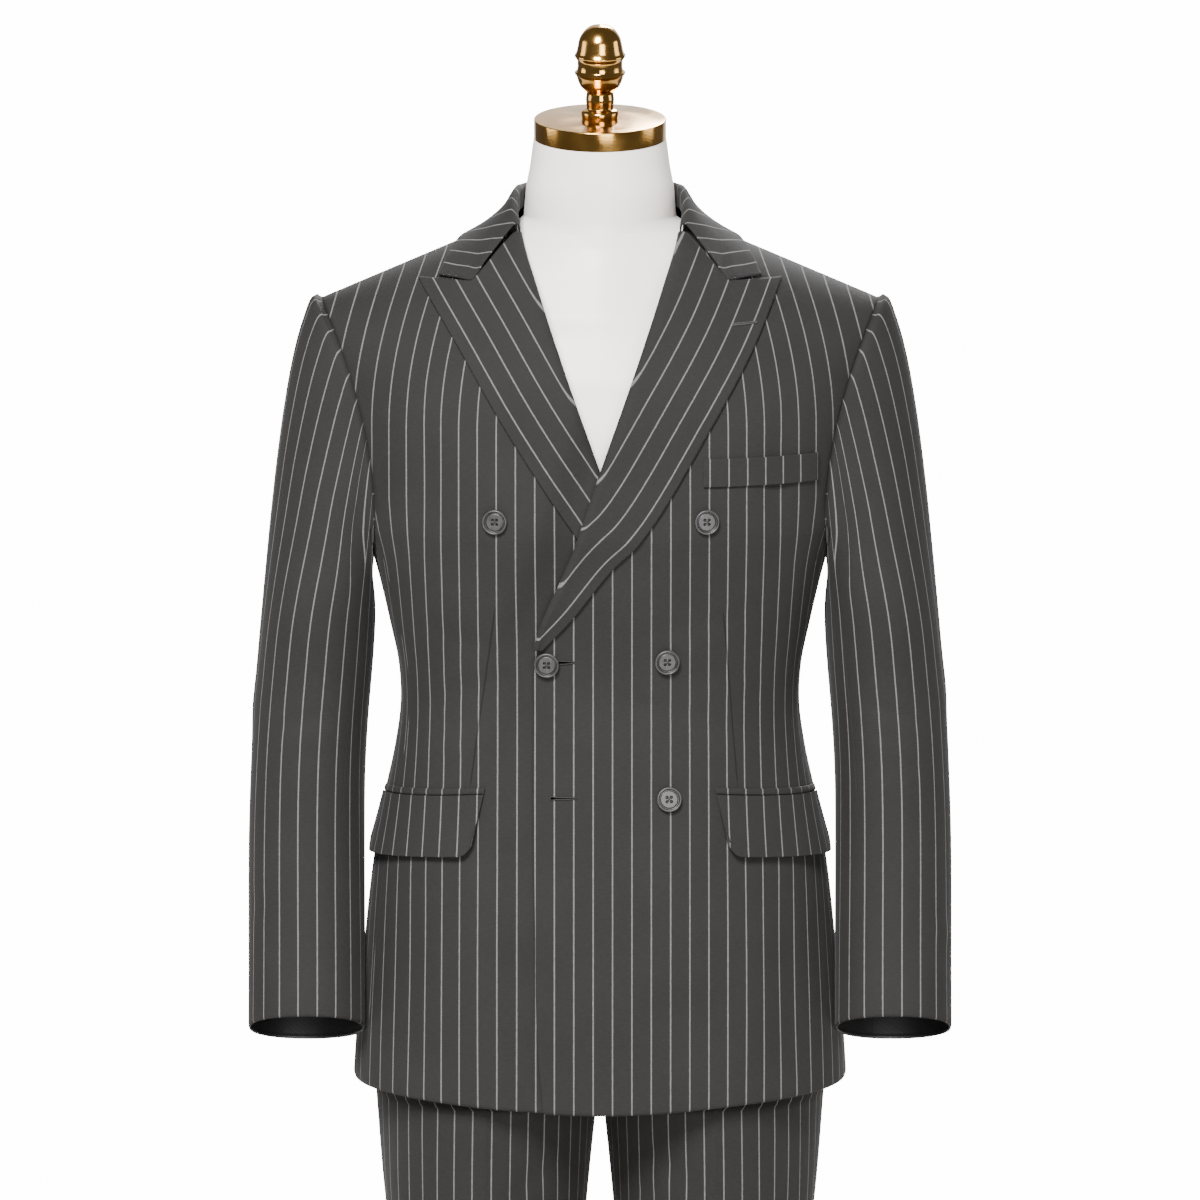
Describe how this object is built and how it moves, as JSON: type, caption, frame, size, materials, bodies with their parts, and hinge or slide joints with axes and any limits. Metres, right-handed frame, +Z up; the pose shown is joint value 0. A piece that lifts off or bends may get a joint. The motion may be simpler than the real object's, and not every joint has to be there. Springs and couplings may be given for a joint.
{
  "type": "double-breasted suit on a dress form",
  "caption": "Peak-lapel double-breasted jacket with matching trousers, filled out on a limbless dress form with a neck cap, finial, pole and round base.",
  "frame": {"origin": "centre of the round base's underside, on the floor", "axes": "+Z up, the suit faces -Y and the wearer's left side is +X"},
  "size_m": [0.6048, 0.42, 1.6993],
  "materials": {
    "jacket_cloth": "charcoal worsted wool with a light grey pinstripe",
    "trouser_cloth": "charcoal worsted wool with a light grey pinstripe",
    "buttons": "mottled dark grey horn",
    "form": "smooth off-white shell",
    "brass": "polished",
    "stand": "brushed"
  },
  "bodies": {
    "root": {"left_front": "jacket_cloth", "right_front": "jacket_cloth", "left_side": "jacket_cloth", "right_side": "jacket_cloth", "left_back": "jacket_cloth", "right_back": "jacket_cloth", "left_lapel": "jacket_cloth", "right_lapel": "jacket_cloth", "collar": "jacket_cloth", "left_top_sleeve": "jacket_cloth", "right_top_sleeve": "jacket_cloth", "left_under_sleeve": "jacket_cloth", "right_under_sleeve": "jacket_cloth", "breast_welt": "jacket_cloth", "left_pocket_flap": "jacket_cloth", "right_pocket_flap": "jacket_cloth", "left_pocket_jet": "jacket_cloth", "right_pocket_jet": "jacket_cloth", "left_trouser_front": "trouser_cloth", "right_trouser_front": "trouser_cloth", "left_trouser_back": "trouser_cloth", "right_trouser_back": "trouser_cloth", "waistband": "trouser_cloth", "button_upper_right": "buttons", "button_upper_left": "buttons", "button_fastened": "buttons", "button_middle_left": "buttons", "button_lower_left": "buttons", "form_torso": "form", "neck_cap": "brass", "finial": "brass", "stand_base": "stand", "stand_pole": "stand"}
  },
  "joints": []
}
